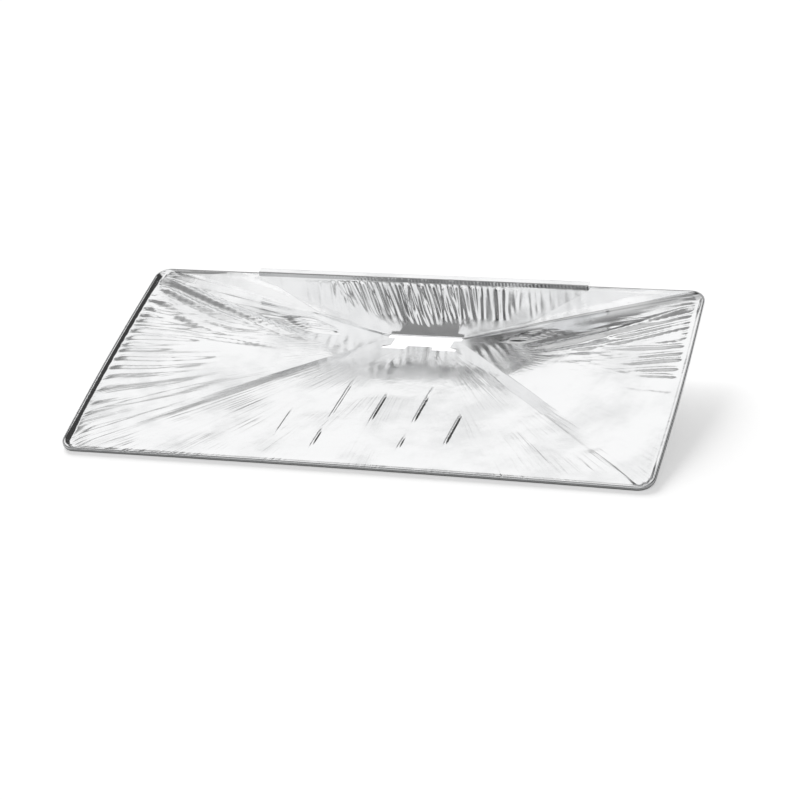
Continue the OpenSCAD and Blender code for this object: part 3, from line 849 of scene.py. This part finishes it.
class FoilFinish(bpy.types.PropertyGroup):
    foil_colour: colour_prop("Foil colour", "Colour of the clean foil", (0.95, 0.953, 0.957))
    scuff_colour: colour_prop("Scuff colour", "Colour of the dull spots", (0.86, 0.865, 0.87))
    # Painted shade: the colour taken on the rolled bead, the flange's riser and the right valley fold, darker
    # than the foil in place of the dark room they reflect and the shade in the fold
    painted_shade_colour: colour_prop("Edge colour", "Colour of the bead and of tight folds", (0.56, 0.565, 0.57))
    gloss_roughness: share_prop("Gloss roughness", "Roughness of the clean foil", 0.10)
    scuff_roughness: share_prop("Scuff roughness", "Roughness of the dull spots", 0.19)
    crinkle_strength: share_prop("Crinkle strength", "Strength of the fine crinkles", 0.5)
    crinkle_depth: length_prop("Crinkle depth", "Depth of the fine crinkles", 0.0003)
    streak_depth: length_prop("Streak depth", "Depth of the fanned streaks a metre from the drain", 0.0024)


class StudioLook(bpy.types.PropertyGroup):
    floor_colour: colour_prop("Floor colour", "Colour of the floor", (0.8, 0.8, 0.8))
    floor_lift: level_prop("Floor lift", "White added to the floor as the camera and the foil see it", 0.50)
    shade_reach: length_prop("Shade reach", "How far the pan shades the floor that the foil reflects", 0.08)
    back_level: level_prop("Back level", "Brightness of the room low at the back", 0.05)
    front_level: level_prop("Front level", "Brightness of the room low in front", 0.95)
    side_level: level_prop("Side level", "Brightness of the room low at both sides", 0.15)
    strip_level: level_prop("Strip level", "Brightness of the strip overhead from front to back", 0.27)
    bar_level: level_prop("Bar level", "Brightness of the bar overhead from left to right", 0.42)
    left_level: level_prop("Left level", "Brightness of the room overhead on the left", 0.66)
    fill_level: level_prop("Fill level", "Soft light from all round", 0.25)
    key_strength: level_prop("Key strength", "Strength of the main light", 3.3)
    key_spread: angle_prop("Key spread", "Softness of the shadow", 32)
    key_from: vector_prop("Key from", "Where the main light comes from", (-0.50, 0.76, 0.42), "DIRECTION")
    lens: level_prop("Lens", "Focal length of the camera in mm", 99.76)
    camera_place: vector_prop("Camera place", "Where the camera stands", (0.6885, -1.8288, 1.0424))
    camera_aim: vector_prop("Camera aim", "Point that the camera looks at", (0.0132, -0.0011, 0.0))
    camera_roll: angle_prop("Camera roll", "Roll of the camera about its own line of sight", -6.475)


def settled_rings(scene):
    """The sheet's two skins in metres, centred from front to back and lying on the floor."""
    upper, lower, seam = sheet_rings(PanForm(scene.pan_sizes), scene.pan_folds, scene.pan_tabs)
    low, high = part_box("foil_pan")
    both = np.concatenate([upper.reshape(-1, 3), lower.reshape(-1, 3)]) * MM
    shift = np.array([0, (low.y + high.y - both[:, 1].min() - both[:, 1].max()) / 2, -both[:, 2].min()])
    return upper * MM + shift, lower * MM + shift, seam


def finish_piece(piece, scene):
    foil = bpy.data.materials.get("bright_foil") or foil_material(scene.foil_finish)
    piece.data.materials.append(foil)
    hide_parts("foil_pan")
    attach(piece, "root")


class FOILPAN_OT_basin(bpy.types.Operator):
    """Make the four creased panels with the drain slot between them"""

    bl_idname = "foilpan.basin"
    bl_label = "Creased panels"

    def execute(self, context):
        upper, lower, seam = settled_rings(context.scene)
        # Painted shade along the right valley, carried to the panels as a point attribute
        folds = valley_painted_shade(PanForm(context.scene.pan_sizes), seam + 1)
        panels = new_mesh("foil_panels", *shell(upper[:seam + 1], lower[:seam + 1]), folds)
        finish_piece(panels, context.scene)
        return {"FINISHED"}


class FOILPAN_OT_rim(bpy.types.Operator):
    """Make the rolled bead round the rim and the hook flange at the back"""

    bl_idname = "foilpan.rim"
    bl_label = "Rolled rim and hook flange"

    def execute(self, context):
        upper, lower, seam = settled_rings(context.scene)
        # Painted dark reflection on the rolled bead and the flange's riser, carried to the rim as a point
        # attribute
        rim_shade = rim_painted_shade(PanForm(context.scene.pan_sizes), len(upper) - seam)
        rim = new_mesh("foil_rim", *shell(upper[seam:], lower[seam:]), rim_shade)
        finish_piece(rim, context.scene)
        return {"FINISHED"}


class FOILPAN_OT_stage(bpy.types.Operator):
    """Make the pale floor, the soft lights and the camera"""

    bl_idname = "foilpan.stage"
    bl_label = "Studio stage"

    def execute(self, context):
        scene = context.scene
        studio = scene.studio_look
        half = 6.0
        points = half * np.array([(-1, -1, 0), (1, -1, 0), (1, 1, 0), (-1, 1, 0)], float)
        floor = new_mesh("studio_floor", points, np.array([[0, 1, 2, 3]]))
        floor.data.materials.append(floor_material(studio))
        studio_world(studio)
        key_light(studio)
        lens = bpy.data.cameras.new("studio_camera")
        lens.lens = studio.lens
        lens.sensor_width = 36.0
        camera = bpy.data.objects.new("studio_camera", lens)
        place, aim = Vector(studio.camera_place), Vector(studio.camera_aim)
        turn = (aim - place).to_track_quat("-Z", "Y").to_matrix().to_4x4()
        roll = Matrix.Rotation(studio.camera_roll, 4, "Z")
        camera.matrix_world = Matrix.Translation(place) @ turn @ roll
        scene.collection.objects.link(camera)
        scene.camera = camera
        scene.view_settings.view_transform = "Standard"
        return {"FINISHED"}


class FOILPAN_PT_panel(bpy.types.Panel):
    bl_label = "Foil drip pan"
    bl_idname = "FOILPAN_PT_panel"
    bl_space_type = "VIEW_3D"
    bl_region_type = "UI"
    bl_category = "Foil pan"

    def draw(self, context):
        for label, group in SETTINGS.items():
            box = self.layout.box()
            settings = getattr(context.scene, label)
            for prop in group.__annotations__:
                box.prop(settings, prop)
        for operator in OPERATORS:
            self.layout.operator(operator.bl_idname)


SETTINGS = {
    "pan_sizes": PanSizes,
    "pan_tabs": SlotTabs,
    "pan_folds": FoldLook,
    "foil_finish": FoilFinish,
    "studio_look": StudioLook,
}
OPERATORS = (FOILPAN_OT_basin, FOILPAN_OT_rim, FOILPAN_OT_stage)
CLASSES = (*SETTINGS.values(), *OPERATORS, FOILPAN_PT_panel)


def register():
    for cls in CLASSES:
        bpy.utils.register_class(cls)
    for label, group in SETTINGS.items():
        setattr(bpy.types.Scene, label, bpy.props.PointerProperty(type=group))


def unregister():
    for label in SETTINGS:
        delattr(bpy.types.Scene, label)
    for cls in reversed(CLASSES):
        bpy.utils.unregister_class(cls)


def main():
    register()
    bpy.ops.foilpan.basin()
    bpy.ops.foilpan.rim()
    bpy.ops.foilpan.stage()


if __name__ == "__main__":
    main()
